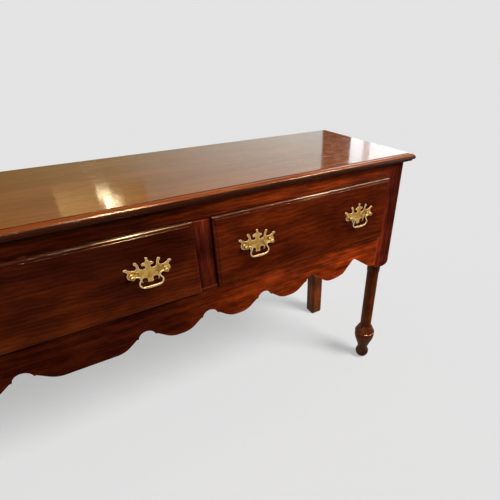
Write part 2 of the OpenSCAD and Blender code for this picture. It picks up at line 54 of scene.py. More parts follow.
slotOf = {row["node"]: row["material_slot"] for row in frame["record"]["subparts"]}
bays = ["left", "middle", "right"]
sides = ["left", "right"]

# Node trees: a Wire is one output socket, and Python's operators on it add Math nodes


class Wire:
    def __init__(self, graph, socket):
        self.graph = graph
        self.socket = socket

    def __add__(self, other):
        return self.graph.number("ADD", self, other)

    def __radd__(self, other):
        return self.graph.number("ADD", other, self)

    def __sub__(self, other):
        return self.graph.number("SUBTRACT", self, other)

    def __rsub__(self, other):
        return self.graph.number("SUBTRACT", other, self)

    def __mul__(self, other):
        return self.graph.number("MULTIPLY", self, other)

    def __rmul__(self, other):
        return self.graph.number("MULTIPLY", other, self)

    def __truediv__(self, other):
        return self.graph.number("DIVIDE", self, other)

    def __pow__(self, other):
        return self.graph.number("POWER", self, other)


class Graph:
    def __init__(self, tree):
        self.tree = tree
        tree.nodes.clear()

    def node(self, kind, settings=None, inputs=None, output=0):
        made = self.tree.nodes.new(kind)
        for key, value in (settings or {}).items():
            if key != "stops":
                setattr(made, key, value)
                continue
            while len(made.color_ramp.elements) < len(value):
                made.color_ramp.elements.new(0.5)
            for stop, (position, colour) in zip(made.color_ramp.elements, value):
                stop.position = position
                stop.color = (*colour, 1)
        for key, value in (inputs or {}).items():
            if isinstance(value, Wire):
                self.tree.links.new(value.socket, made.inputs[key])
            else:
                made.inputs[key].default_value = value
        return Wire(self, made.outputs[output]) if made.outputs else None

    def number(self, operation, a, b):
        return self.node("ShaderNodeMath", {"operation": operation}, {0: a, 1: b})

    def vector(self, operation, a, b):
        return self.node("ShaderNodeVectorMath", {"operation": operation}, {0: a, 1: b})

    def axis(self, vector, number):
        return self.node("ShaderNodeSeparateXYZ", {}, {0: vector}, number)

    def objectPlace(self):
        return self.node("ShaderNodeTexCoord", {}, {}, 3)

    def mix(self, factor, a, b, blend="MIX"):   # sockets 6 and 7 are the colours, output 2 the result
        a, b = [colour if isinstance(colour, Wire) else (*colour, 1) for colour in (a, b)]
        settings = {"data_type": "RGBA", "blend_type": blend, "clamp_factor": True}
        return self.node("ShaderNodeMix", settings, {0: factor, 6: a, 7: b}, 2)

    def stain(self, factor, colour, tint, blend="MULTIPLY"):
        return self.mix(factor, colour, self.mix(1.0, colour, tint, blend))

    def ramp(self, factor, stops):
        return self.node("ShaderNodeValToRGB", {"stops": stops}, {0: factor})

    def smooth(self, value, low, high):
        return self.node("ShaderNodeMapRange", {"interpolation_type": "SMOOTHSTEP"},
                         {0: value, 1: low, 2: high, 3: 0, 4: 1})

    def noise(self, place, stretch, detail, roughness, output=0):
        return self.node("ShaderNodeTexNoise", {},
                         {"Vector": self.vector("MULTIPLY", place, stretch), "Scale": 1,
                          "Detail": detail, "Roughness": roughness}, output)

    def patches(self, place, stretch, detail, roughness, low, high):   # noise cleared up into patches
        return self.smooth(self.noise(place, stretch, detail, roughness), low, high)

    def tucked(self, reach, clear, full, inside=False):   # 1 in hollows; inside, 1 at arrises
        settings = {"samples": 6, "only_local": inside, "inside": inside}
        near = self.node("ShaderNodeAmbientOcclusion", settings, {"Distance": reach}, 1)
        return self.smooth(near, clear, full)


def newMaterial(name):
    material = bpy.data.materials.new(name)
    material.use_nodes = True
    return material, Graph(material.node_tree)


# Grain: each layer's stretch along and across the board, its detail and roughness, and its two limits
quarter = math.pi / 2
grainTurn = {"X": (0, 0, 0), "Y": (0, 0, quarter), "Z": (0, quarter, 0)}   # turns the grain on to X
grain = {
    "sway": ((1.1, 3.5, 3.5), 2, 0.5), "swayReach": (0, 0.03, 0.03),
    "bands": ((0.9, 11, 11), 3, 0.5), "streaks": ((5, 95, 95), 5, 0.62),
    "lines": ((7, 420, 420), 3, 0.6), "ribbon": ((14, 5, 5), 2, 0.5),
    "rings": {"Scale": 34, "Distortion": 9, "Detail": 3, "Detail Scale": 0.5},
    "pores": ((45, 1300, 1300), 1, 0.5, 0.62, 0.72), "poreShare": 0.45,
    "blots": ((13, 27, 27), 3, 0.55, 0.33, 0.67), "blotTints": ((0.5, 0.4, 0.5), (1.7, 1.65, 1.2)),
    "clouds": ((3, 4.5, 4.5), 3, 0.6, 0.38, 0.72), "cloudTint": (0.4, 0.28, 0.25),
    "smudges": ((9, 13, 13), 3, 0.6, 0.4, 0.75), "scratches": ((30, 190, 190), 2, 0.7, 0.6, 0.8),
    "dents": ((26, 33, 33), 2, 0.5), "relief": 0.25, "reliefDepth": 0.0006,
    "arrises": (0.004, 0.9, 0.45, True), "corners": (0.025, 0.92, 0.5), "seams": (0.003, 0.9, 0.5),
    "dirtAndShade": (0.007, 0.002, 0.001),
}
figureLayers = ("bands", "rings", "streaks", "lines", "ribbon")   # the order of a wood's "figure" shares

# Woods: colours are linear, grain runs along the named axis of each board
redPolish = {"sheen": 0.45, "tint": (1, 0.72, 0.45), "polish": 0.14, "smudge": 0.06, "dirtAndShade": 0.85,
             "wear": 0.4, "round": 0.0012}
woods = {
    "top_wood": {
        "dark": (0.185, 0.046, 0.011), "middle": (0.275, 0.079, 0.02), "light": (0.37, 0.118, 0.032),
        "figure": (0.38, 0.05, 0.3, 0.17, 0.1), "span": (0.26, 0.74), "mottle": 0.12, "clouds": 0.2,
        "sheen": 0.5, "tint": (1, 0.9, 0.74), "polish": 0.045, "smudge": 0.035, "dirtAndShade": 0.7, "wear": 0.3,
        "round": 0.0003,
        "moulding": {"levels": (0.8093, 0.8035), "tintAndShadeStains": ((0.95, 0.66, 0.38), (0.16, 0.11, 0.15))}},
    "case_wood": {
        **redPolish,
        "dark": (0.036, 0.0055, 0.0025), "middle": (0.19, 0.024, 0.0042), "light": (0.43, 0.066, 0.007),
        "figure": (0.34, 0.04, 0.36, 0.18, 0.08), "span": (0.33, 0.67), "mottle": 0.65, "clouds": 0.6,
        "paintedMiddleShade": (0.1, 0.48, (0.2, 0.19, 0.36)),
        "ends": ((0.64, 0.56, (1.9, 1.85, 1.3)), (0.7, 0.74, (0.62, 0.6, 0.9)))},
    "post_wood": {
        **redPolish,
        "dark": (0.024, 0.004, 0.0028), "middle": (0.11, 0.0145, 0.007), "light": (0.28, 0.036, 0.01),
        "figure": (0.34, 0.03, 0.22, 0.16, 0.25), "span": (0.34, 0.66), "mottle": 0.6, "clouds": 0.6,
        "legs": ((0.46, (1.25, 1.9, 1.2)), (0.09, (0.6, 0.75, 1.2)))},
    "drawer_wood": {
        **redPolish, "polish": 0.08, "smudge": 0.05, "wear": 0.45,
        "dark": (0.034, 0.0052, 0.0022), "middle": (0.095, 0.0125, 0.003), "light": (0.19, 0.031, 0.0048),
        "figure": (0.46, 0.05, 0.2, 0.2, 0.09), "span": (0.28, 0.72), "mottle": 0.62, "clouds": 0.45,
        "paintedMiddleShade": (0.1, 0.45, (0.72, 0.85, 1.1))},
    "lining_wood": {
        "dark": (0.19, 0.095, 0.036), "middle": (0.34, 0.2, 0.088), "light": (0.47, 0.3, 0.14),
        "figure": (0.4, 0.04, 0.36, 0.16, 0.04), "span": (0.3, 0.7), "mottle": 0.12, "clouds": 0.35,
        "sheen": 0.3, "tint": (1, 1, 1), "polish": 0.55, "smudge": 0.1, "dirtAndShade": 0.5, "wear": 0.2,
        "round": 0},
}


def woodMaterial(name, look, way, seed):
    rng = random.Random(seed)
    shift = [rng.uniform(-4, 4) for axis in range(3)]   # every board is cut from another part of the wood
    material, s = newMaterial(name)
    here = s.objectPlace()
    place = s.node("ShaderNodeMapping", {}, {
        "Vector": here, "Location": shift, "Rotation": grainTurn[way]})
    sway = s.noise(place, *grain["sway"], output=1)
    sway = s.vector("MULTIPLY", s.vector("SUBTRACT", sway, (0.5, 0.5, 0.5)), grain["swayReach"])
    flow = s.vector("ADD", place, sway)
    heart = s.node("ShaderNodeMapping", {}, {
        "Vector": flow, "Rotation": (0, rng.uniform(-0.04, 0.04), 0.03),
        "Location": (0, rng.uniform(0.1, 0.3), rng.uniform(0.1, 0.3))})
    layers = {kind: s.noise(flow, *grain[kind]) for kind in figureLayers if kind != "rings"}
    layers["rings"] = s.node("ShaderNodeTexWave", {"wave_type": "RINGS", "rings_direction": "X"},
                             {"Vector": heart, **grain["rings"]}, 1)
    figure = sum((layers[kind] * share for kind, share in zip(figureLayers, look["figure"])), 0)
    figure = s.smooth(figure, *look["span"])
    colour = s.ramp(figure, [(0, look["dark"]), (0.5, look["middle"]), (1, look["light"])])
    pores = s.patches(flow, *grain["pores"])
    colour = s.mix(pores * grain["poreShare"], colour, look["dark"])
    blots = s.patches(flow, *grain["blots"])
    shade, glow = grain["blotTints"]
    colour = s.mix(blots * look["mottle"], s.mix(look["mottle"] * 0.7, colour, shade, "MULTIPLY"),
                   s.mix(1.0, colour, glow, "MULTIPLY"))
    clouds = s.patches(place, *grain["clouds"])
    colour = s.stain(clouds * look["clouds"], colour, grain["cloudTint"])
    rubbed = s.tucked(*grain["arrises"]) * s.smooth(layers["streaks"], 0.3, 0.6)
    colour = s.stain(rubbed * look["wear"], colour, look["light"], "ADD")
    # darker in hollows and where parts meet, as under the top's nose and beside the drawer lips: partly dirt,
    # partly painted shade; the seams are dark joints
    for hollow in ("corners", "seams"):
        colour = s.mix(s.tucked(*grain[hollow]) * look["dirtAndShade"], colour, grain["dirtAndShade"])
    height = s.axis(here, 2)
    smudges = s.patches(place, *grain["smudges"])
    rough = look["polish"] + smudges * look["smudge"] + pores * 0.08 + (layers["streaks"] - 0.5) * 0.05
    if "moulding" in look:   # the moulded edge is darker and redder than the flat, partly its own tone and partly painted shade, and below the lower level it is painted shade
        (high, low), (redTintAndShade, paintedUnderShade) = look["moulding"]["levels"], look["moulding"]["tintAndShadeStains"]
        moulded = s.smooth(height, high + 0.0003, high - 0.0003)
        colour = s.stain(moulded, colour, s.mix(s.smooth(height, low + 0.0015, low - 0.0015), redTintAndShade, paintedUnderShade))
        rough = rough + moulded * 0.06
    if "paintedMiddleShade" in look:   # the front is darker towards its middle: painted shade
        near, far, tint = look["paintedMiddleShade"]
        along = s.number("ABSOLUTE", s.axis(here, 0), 0) + (clouds - 0.5) * 0.1
        colour = s.stain(s.smooth(along, far, near), colour, tint)
        for low, high, tint in look.get("ends", ()):   # towards its ends it is lighter low down and darker high up
            colour = s.stain(s.smooth(along, 0.55, 0.78) * s.smooth(height, low, high), colour, tint)
    for level, tint in look.get("legs", ()):   # the legs are browner, most of all near the floor
        ragged = height + (layers["streaks"] - 0.5) * 0.06
        colour = s.stain(s.smooth(ragged, level, level - 0.06), colour, tint)
    scratches = s.patches(place, *grain["scratches"])
    dents = s.noise(place, *grain["dents"])
    relief = layers["lines"] * 0.25 + dents * 0.5 - pores * 0.6 - scratches * 0.15
    settings = {"Strength": grain["relief"], "Distance": grain["reliefDepth"], "Height": relief}
    if look["round"]:   # arrises rounded by wear
        settings["Normal"] = s.node("ShaderNodeBevel", {"samples": 6}, {"Radius": look["round"]})
    bump = s.node("ShaderNodeBump", {}, settings)
    wood = s.node("ShaderNodeBsdfPrincipled", {}, {
        "Base Color": colour, "Roughness": rough, "Normal": bump, "Specular IOR Level": look["sheen"],
        "Specular Tint": (*look["tint"], 1)})
    s.node("ShaderNodeOutputMaterial", {}, {"Surface": wood})
    return material


# Brass: plates and posts are dull, their rims lighter from rubbing and from a painted highlight, bails are handled
# bright
brassLooks = {
    "wornBrass": {"light": (0.78, 0.56, 0.19), "dark": (0.46, 0.3, 0.085), "rubbed": (1, 0.9, 0.66)},
    "rubbedRimWithHighlight": {"light": (1, 0.77, 0.51), "dark": (0.92, 0.64, 0.39), "rubbed": (1, 0.84, 0.62)},
    "handledBrass": {"light": (1, 0.84, 0.5), "dark": (0.92, 0.73, 0.4), "rubbed": (1, 0.9, 0.66)},
}
tarnish = {"clouds": ((90, 90, 90), 3, 0.6, 0.35, 0.68), "specks": ((700, 700, 700), 2, 0.5, 0.6, 0.75),
           "speckColour": (0.3, 0.19, 0.06), "dents": ((260, 260, 260), 3, 0.6),
           "arrises": (0.0015, 0.9, 0.4, True), "corners": (0.004, 0.8, 0.35),
           "dirtAndShade": (0.1, 0.05, 0.015), "polish": 0.24, "round": 0.0012}


def brassMaterial(name, look):
    material, s = newMaterial(name)
    place = s.objectPlace()
    clouds = s.patches(place, *tarnish["clouds"])
    specks = s.patches(place, *tarnish["specks"])
    colour = s.mix(clouds, look["light"], look["dark"])
    colour = s.mix(specks * 0.4, colour, tarnish["speckColour"])
    # arrises lighter: rubbed wear and a painted highlight
    colour = s.mix(s.tucked(*tarnish["arrises"]) * 0.9, colour, look["rubbed"])
    colour = s.mix(s.tucked(*tarnish["corners"]) * 0.7, colour, tarnish["dirtAndShade"])
    rough = tarnish["polish"] + clouds * 0.12 + specks * 0.15
    rounded = s.node("ShaderNodeBevel", {"samples": 8}, {"Radius": tarnish["round"]})
    bump = s.node("ShaderNodeBump", {}, {"Strength": 0.2, "Distance": 0.0003, "Normal": rounded,
                                         "Height": s.noise(place, *tarnish["dents"])})
    metal = s.node("ShaderNodeBsdfPrincipled", {}, {
        "Base Color": colour, "Roughness": rough, "Metallic": 1, "Normal": bump})
    s.node("ShaderNodeOutputMaterial", {}, {"Surface": metal})
    return material


nailIron = {"rust": ((500, 500, 500), 3, 0.6, 0.42, 0.62), "pits": ((900, 900, 900), 2, 0.6),
            "bare": (0.05, 0.045, 0.042), "rusted": (0.11, 0.045, 0.02)}


def ironMaterial():
    material, s = newMaterial("nailIron")
    place = s.objectPlace()
    rust = s.patches(place, *nailIron["rust"])
    colour = s.mix(rust, nailIron["bare"], nailIron["rusted"])
    bump = s.node("ShaderNodeBump", {}, {"Strength": 0.4, "Distance": 0.0004,
                                         "Height": s.noise(place, *nailIron["pits"])})
    metal = s.node("ShaderNodeBsdfPrincipled", {}, {
        "Base Color": colour, "Roughness": 0.5 + rust * 0.3, "Metallic": 0.8 - rust * 0.6, "Normal": bump})
    s.node("ShaderNodeOutputMaterial", {}, {"Surface": metal})
    return material


def grainWay(name):
    if name.startswith(("end_panel", "runner", "drawer_guides", "kickers")) or name.endswith("_side"):
        return "Y"
    return "Z" if "post" in name and "handle" not in name or "divider" in name else "X"


brass, rimBrassWithHighlight, bailBrass = [brassMaterial(name, look) for name, look in brassLooks.items()]
iron = ironMaterial()
finishOf = {}
for number, name in enumerate(sorted(nodes)):
    kind, way = slotOf[name], grainWay(name)
    if kind == "brass":
        finishOf[name] = bailBrass if name.endswith("bail") else brass
    else:
        upright = kind == "case_wood" and way == "Z"   # posts and dividers are darker and redder
        look = woods["post_wood" if upright else kind]
        finishOf[name] = woodMaterial("wood_" + name, look, way, number)
    slots = nodes[name].data.materials
    slots.clear()
    slots.append(finishOf[name])
print("materials ready:", len(set(finishOf.values())) + 2)   # with the rims' brass and the nails' iron

# Pieces


def addPiece(name, mesh):
    piece = bpy.data.objects.new(name, mesh)
    scene.collection.objects.link(piece)
    return piece


def settle(piece):   # turns the modifiers' result into a plain mesh
    depsgraph = bpy.context.evaluated_depsgraph_get()
    mesh = bpy.data.meshes.new_from_object(piece.evaluated_get(depsgraph))
    piece.modifiers.clear()
    piece.data = mesh
    return piece


def standFor(piece, name):
    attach(piece, bodyOf[name])
    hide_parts(name)


# Eased edges: the boards and mouldings listed here have their arrises rubbed round, by so many millimetres
easing = {"top_board": 0.3, "front_post": 1.3, "rear_post": 1.0, "front_rail": 0.7, "divider": 0.7,
          "front_apron": 0.9, "end_panel": 0.5, "back_rail": 0.6, "back_board": 1.8, "drawer_front": 0.4,
          "drawer_left_side": 0.5, "drawer_right_side": 0.5, "drawer_back": 0.5}
rubbing = {"sharperThan": 36, "segments": 2, "flatWithin": 0.3, "merge": 1e-6}   # degrees and metres


def easedCopy(name, width):
    form = bmesh.new()
    form.from_mesh(nodes[name].data)
    bmesh.ops.remove_doubles(form, verts=form.verts, dist=rubbing["merge"])
    bmesh.ops.dissolve_limit(form, angle_limit=math.radians(rubbing["flatWithin"]), verts=form.verts,
                             edges=form.edges)
    form.verts.index_update()
    form.faces.index_update()
    mesh = bpy.data.meshes.new("eased_" + name)   # a new mesh leaves out the old one's stored normals
    mesh.from_pydata([v.co for v in form.verts], [], [[v.index for v in f.verts] for f in form.faces])
    form.free()
    mesh.shade_smooth()
    mesh.materials.append(finishOf[name])
    piece = addPiece("eased_" + name, mesh)
    bevel = piece.modifiers.new("ease", "BEVEL")
    bevel.width = width / 1000
    bevel.segments = rubbing["segments"]
    bevel.limit_method = "ANGLE"
    bevel.angle_limit = math.radians(rubbing["sharperThan"])
    bevel.harden_normals = True
    standFor(settle(piece), name)


for name in sorted(nodes):
    widths = [width for key, width in easing.items() if key in name]
    if widths:
        easedCopy(name, widths[0])
print("eased pieces ready")

# Handles: where they sit on the drawer fronts, in millimetres
handles = {"bayPitch": 594, "spread": 164, "centreZ": 654}


def handleAcross(bay, side):
    return (bays.index(bay) - 1) * handles["bayPitch"] + (1 if side == "right" else -1) * handles["spread"]


def curveThrough(points, steps):   # a smooth curve through all the points
    ends = [points[0]] + points + [points[-1]]
    result = [points[0]]
    for a, b, c, d in zip(ends, ends[1:], ends[2:], ends[3:]):
        for step in range(1, steps + 1):
            t = step / steps
            result.append(tuple(
                0.5 * (2 * q + (r - p) * t + (2 * p - 5 * q + 4 * r - s) * t * t
                       + (3 * q - p - 3 * r + s) * t ** 3) for p, q, r, s in zip(a, b, c, d)))
    return result


def arcPoints(centre, radius, start, finish, count):
    angles = [math.radians(start + (finish - start) * i / count) for i in range(count + 1)]
    return [(centre[0] + radius * math.cos(a), centre[1] + radius * math.sin(a)) for a in angles]


# Backplates: half an outline in millimetres, foot to finial, with a chamfer and inside that a rim, rubbed and with
# a painted highlight
plate = {"post": 36, "disc": 10.5, "discArc": (-145, 50), "hole": 3.0, "holeSides": 24,
         "chamfer": 0.5, "fall": 0.45, "rim": 0.9, "insetShare": 0.35, "sharp": 30,
         "foot": [(0, -25.5), (3.6, -25), (6.6, -23.2)],
         "notch": ((11.6, -18.2), 6.1, 215, -46),   # centre, radius, first and last angle
         "tooth": [(18.4, -22), (20.6, -17.6), (22.4, -11.5), (26.4, -6)],
         "outer": [(44.2, 9.6), (46.8, 13), (50.2, 14.8), (50.9, 17.4), (48.4, 19.4), (44.2, 18.8),
                   (41, 15.8), (35.6, 12.6), (29.6, 11.4), (26.2, 12.4)],
         "inner": [(24.5, 14.8), (24.2, 19.6), (27.4, 24), (28.4, 27.4), (26.2, 29.8), (22.8, 29.4),
                   (21.2, 26.6), (19.3, 22.4), (18.5, 17.4), (17.2, 12.6)],
         "finial": [(14.2, 10), (10.2, 9.2), (6.6, 10.6), (5.2, 13.6), (6.8, 16.8), (9.4, 17.4),
                    (12.2, 18.4), (13.2, 21), (11.6, 23.4), (7.8, 24.2), (4.6, 26.4), (2.6, 29.4),
                    (2.2, 31.2), (2.9, 33.4), (2.2, 35.8), (0, 36.5)],
         "steps": {"curve": 3, "notch": 12, "disc": 14}}


def plateOutline():
    steps = plate["steps"]
    half = curveThrough(plate["foot"], steps["curve"]) + arcPoints(*plate["notch"], steps["notch"])
    half += curveThrough(plate["tooth"], steps["curve"])
    half += arcPoints((plate["post"], 0), plate["disc"], *plate["discArc"], steps["disc"])
    half += curveThrough(plate["outer"] + plate["inner"] + plate["finial"], steps["curve"])
    return [Vector((u, 0, w)) for u, w in half + [(-u, w) for u, w in half[-2:0:-1]]]


def roomAhead(points, i, way):   # how far the brass reaches from a point of its outline
    start, room = points[i], 1000
    for j in range(len(points)):
        if i in (j, (j - 1) % len(points)):
            continue
        a, along = points[j - 1], points[j] - points[j - 1]
        cross = way.x * along.z - way.z * along.x
        if abs(cross) > 1e-9:
            t = ((a.x - start.x) * along.z - (a.z - start.z) * along.x) / cross
            u = ((a.x - start.x) * way.z - (a.z - start.z) * way.x) / cross
            if 1e-6 < t < room and 0 <= u <= 1:
                room = t
    return room


def insetLoop(points, amount):   # each point moves inwards, less where the brass is narrow
    moved = []
    for i, point in enumerate(points):
        before = (point - points[i - 1]).normalized()
        behind = (points[(i + 1) % len(points)] - point).normalized()
        inward = [Vector((0, -1, 0)).cross(way) for way in (before, behind)]
        middle = (inward[0] + inward[1]).normalized()
        step = amount / max(middle.dot(inward[0]), 0.5)
        moved.append(point + middle * min(step, roomAhead(points, i, middle) * plate["insetShare"]))
    return moved


def plateForm(thick):   # points in millimetres, faces, and each face's material: 0 plain, 1 rubbed rim with a painted highlight
    outline = plateOutline()
    chamfered = insetLoop(outline, plate["chamfer"])
    rimmed = insetLoop(chamfered, plate["rim"])
    back, fall = Vector((0, thick, 0)), Vector((0, plate["fall"], 0))
    points, faces, finishes, rings = [], [], [], []

    def addRing(loop):
        points.extend(loop)
        return list(range(len(points) - len(loop), len(points)))

    def joinRings(a, b, finish):
        for i in range(len(a)):
            faces.append([a[i - 1], a[i], b[i], b[i - 1]])
            finishes.append(finish)

    for loop in ([p + back for p in outline], [p + fall for p in outline], chamfered, rimmed):
        rings.append(addRing(loop))
    for number, (a, b) in enumerate(zip(rings, rings[1:])):
        joinRings(a, b, min(number, 1))
    frontHoles, backHoles = [], []
    last = 360 - 360 / plate["holeSides"]
    for side in (-1, 1):   # holes for the bolts
        circle = arcPoints((side * plate["post"], 0), plate["hole"], 0, last, plate["holeSides"] - 1)
        hole = [Vector((u, 0, w)) for u, w in circle]
        frontHoles.append(addRing(hole))
        backHoles.append(addRing([p + back for p in hole]))
        joinRings(frontHoles[-1], backHoles[-1], 0)
    for loops in ([rings[-1]] + frontHoles, [rings[0]] + backHoles):
        numbers = sum(loops, [])
        outlines = [[Vector((points[n].x, points[n].z, 0)) for n in loop] for loop in loops]
        flat = tessellate_polygon(outlines)
        faces += [[numbers[i] for i in triangle] for triangle in flat]
        finishes += [0] * len(flat)
    return points, faces, finishes


def makePlate(bay, side, form):
    points, faces, finishes = form
    name = f"{bay}_drawer_{side}_backplate"
    corner = Vector((handleAcross(bay, side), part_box(name)[0][1] * 1000, handles["centreZ"]))
    mesh = bpy.data.meshes.new("cut_" + name)
    mesh.from_pydata([(p + corner) / 1000 for p in points], [], faces)
    mesh.polygons.foreach_set("material_index", finishes)
    mesh.materials.append(brass)
    mesh.materials.append(rimBrassWithHighlight)
    clean = bmesh.new()
    clean.from_mesh(mesh)
    bmesh.ops.recalc_face_normals(clean, faces=clean.faces)
    clean.to_mesh(mesh)
    clean.free()
    mesh.shade_smooth()
    mesh.set_sharp_from_angle(angle=math.radians(plate["sharp"]))
    standFor(addPiece("cut_" + name, mesh), name)


low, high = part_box("left_drawer_left_backplate")
cutForm = plateForm((high[1] - low[1]) * 1000)
for bay in bays:
    for side in sides:
        makePlate(bay, side, cutForm)
print("backplates ready:", len(cutForm[1]), "faces each")

# Geometry trees: named inputs first, plain meshes out


def startTree(name, wanted):
    tree = bpy.data.node_groups.new(name, "GeometryNodeTree")
    tree.interface.new_socket("Geometry", in_out="OUTPUT", socket_type="NodeSocketGeometry")
    ids = {}
    for label, kind in wanted.items():
        made = tree.interface.new_socket(label, in_out="INPUT", socket_type="NodeSocket" + kind)
        ids[label] = made.identifier
    g = Graph(tree)
    given = {label: g.node("NodeGroupInput", {}, {}, number) for number, label in enumerate(ids)}
    return tree, ids, g, given


def endTree(g, geometry, finish):
    geometry = g.node("GeometryNodeRealizeInstances", {}, {"Geometry": geometry})
    geometry = g.node("GeometryNodeSetMaterial", {}, {"Geometry": geometry, "Material": finish})
    g.node("NodeGroupOutput", {}, {0: geometry})


def runTree(piece, tree, ids, values):
    modifier = piece.modifiers.new(tree.name, "NODES")
    modifier.node_group = tree
    for label, value in values.items():
        modifier[ids[label]] = value
    return settle(piece)


# Bails: a wire along the swan-neck path, thicker at the grip, in millimetres
bail = {"pivotY": -207.55, "half": 29.7, "pin": [(33.9, 0), (31.8, 0), (30.0, 0)], "pinRadius": 1.6,
        "wireRadius": 1.9, "gripRadius": 3.2, "gripTop": -24, "gripFade": 4, "pinStart": 0.2,
        "sides": 18, "steps": 7,
        "path": [(29.7, 0), (25.1, -0.4), (21.1, -2.9), (20.1, -7), (22.1, -12), (24.8, -17), (25, -22),
                 (21.3, -28), (14.7, -30.4), (0, -31)]}


def wireTree():
    tree, ids, g, given = startTree("bailWire", {
        "Path": "Geometry", "Wire Radius": "Float", "Grip Radius": "Float", "Pin Radius": "Float",
        "Half Span": "Float", "Grip Top": "Float", "Sides": "Int", "Place": "Vector",
        "Finish": "Material"})
    where = g.node("GeometryNodeInputPosition")
    out = g.number("ABSOLUTE", g.axis(where, 0), 0)
    share = g.number("MINIMUM", out / given["Half Span"], 1)
    swell = g.number("COSINE", share * quarter, 0) ** 2
    fadeTop = given["Grip Top"] + bail["gripFade"] / 1000
    thick = swell * g.smooth(g.axis(where, 2), fadeTop, given["Grip Top"])
    radius = given["Wire Radius"] + (given["Grip Radius"] - given["Wire Radius"]) * thick
    isPin = g.number("GREATER_THAN", out, given["Half Span"] + bail["pinStart"] / 1000)
    radius = radius * (1 - isPin) + given["Pin Radius"] * isPin
    line = g.node("GeometryNodeMeshToCurve", {}, {"Mesh": given["Path"]})
    ring = g.node("GeometryNodeCurvePrimitiveCircle", {"mode": "RADIUS"},
                  {"Resolution": given["Sides"], "Radius": 1.0})
    tube = g.node("GeometryNodeCurveToMesh", {}, {"Curve": line, "Profile Curve": ring, "Scale": radius,
                                                  "Fill Caps": True})
    tube = g.node("GeometryNodeSetShadeSmooth", {}, {"Geometry": tube})
    tube = g.node("GeometryNodeTransform", {}, {"Geometry": tube, "Translation": given["Place"]})
    endTree(g, tube, given["Finish"])
    return tree, ids


def makeBail(tree, ids, bay, side):
    half = bail["pin"] + curveThrough(bail["path"], bail["steps"])
    path = half + [(-u, w) for u, w in reversed(half[:-1])]
    mesh = bpy.data.meshes.new("bailPath")
    links = [(i, i + 1) for i in range(len(path) - 1)]
    mesh.from_pydata([(u / 1000, 0, w / 1000) for u, w in path], links, [])
    name = f"{bay}_drawer_{side}_bail"
    place = (handleAcross(bay, side) / 1000, bail["pivotY"] / 1000, handles["centreZ"] / 1000)
    piece = runTree(addPiece(f"wire_{name}", mesh), tree, ids, {
        "Wire Radius": bail["wireRadius"] / 1000, "Grip Radius": bail["gripRadius"] / 1000,
        "Pin Radius": bail["pinRadius"] / 1000, "Half Span": bail["half"] / 1000,
        "Grip Top": bail["gripTop"] / 1000, "Sides": bail["sides"], "Place": place, "Finish": bailBrass})
    standFor(piece, name)
    return piece


wires, wireInputs = wireTree()
for bay in bays:
    for side in sides:
        made = makeBail(wires, wireInputs, bay, side)
print("bails ready:", len(made.data.polygons), "faces each")

# Nails: rows of flat rose heads in millimetres, half sunk in the wood, at places in metres
nails = {"headRadius": 3.6, "headRise": 1.2, "sizes": (0.82, 1.1), "seed": 5, "wander": (0.012, 0.004),
         "boards": {"upper": 0.768, "lower": 0.538}, "boardCount": 13, "boardReach": 0.835,
         "boardSink": 0.001, "bottomCount": 7, "bottomMargin": 0.03, "bottomInset": 0.005,
         "bottomSink": 0.001}


def nailTree():
    tree, ids, g, given = startTree("nailHeads", {
        "Points": "Geometry", "Head Radius": "Float", "Head Rise": "Float", "Lean": "Vector",
        "Seed": "Int", "Finish": "Material"})
    head = g.node("GeometryNodeMeshUVSphere", {}, {"Segments": 9, "Rings": 5, "Radius": 1.0})
    size = g.node("ShaderNodeCombineXYZ", {}, {0: given["Head Radius"], 1: given["Head Radius"],
                                               2: given["Head Rise"]})
    head = g.node("GeometryNodeTransform", {}, {
        "Geometry": head, "Rotation": given["Lean"], "Scale": size})
    least, most = nails["sizes"]
    vary = g.node("FunctionNodeRandomValue", {"data_type": "FLOAT"},
                  {2: least, 3: most, "Seed": given["Seed"]}, 1)
    heads = g.node("GeometryNodeInstanceOnPoints", {},
                   {"Points": given["Points"], "Instance": head, "Scale": vary})
    endTree(g, heads, given["Finish"])
    return tree, ids


def makeNails(tree, ids, name, points, lean, body):
    mesh = bpy.data.meshes.new("nailPoints")
    mesh.from_pydata(points, [], [])
    piece = runTree(addPiece(name, mesh), tree, ids, {
        "Head Radius": nails["headRadius"] / 1000, "Head Rise": nails["headRise"] / 1000, "Lean": lean,
        "Seed": nails["seed"], "Finish": iron})
    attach(piece, body)


def rowOf(count, low, high, rng, spot):
    step = (high - low) / (count - 1)
    along, off = nails["wander"]
    return [spot(low + step * i + rng.uniform(-along, along), rng.uniform(-off, off))
            for i in range(count)]


heads, headInputs = nailTree()
rng = random.Random(nails["seed"])
for level, height in nails["boards"].items():
    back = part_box(level + "_back_board")[1][1] - nails["boardSink"]
    points = rowOf(nails["boardCount"], -nails["boardReach"], nails["boardReach"], rng,
                   lambda along, off: (along, back, height + off))
    makeNails(heads, headInputs, level + "_board_nails", points, (quarter, 0, 0), "carcase")
for bay in bays:
    low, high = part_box(bay + "_drawer_bottom")
    margin = nails["bottomMargin"]
    points = rowOf(nails["bottomCount"], low[0] + margin, high[0] - margin, rng,
                   lambda along, off: (along, high[1] - nails["bottomInset"],
                                       low[2] + nails["bottomSink"]))
    makeNails(heads, headInputs, bay + "_bottom_nails", points, (0, 0, 0), bay + "_drawer")
print("nails ready")

# Camera: the photograph's viewing angle
view = {"place": (0.0780, -0.9192, 1.0666), "heading": 30.543, "tilt": 30.96, "roll": 0.485,
        "lens": 25.85, "film": 36, "shift": (-0.0667, 0.0309), "reach": (0.01, 100)}


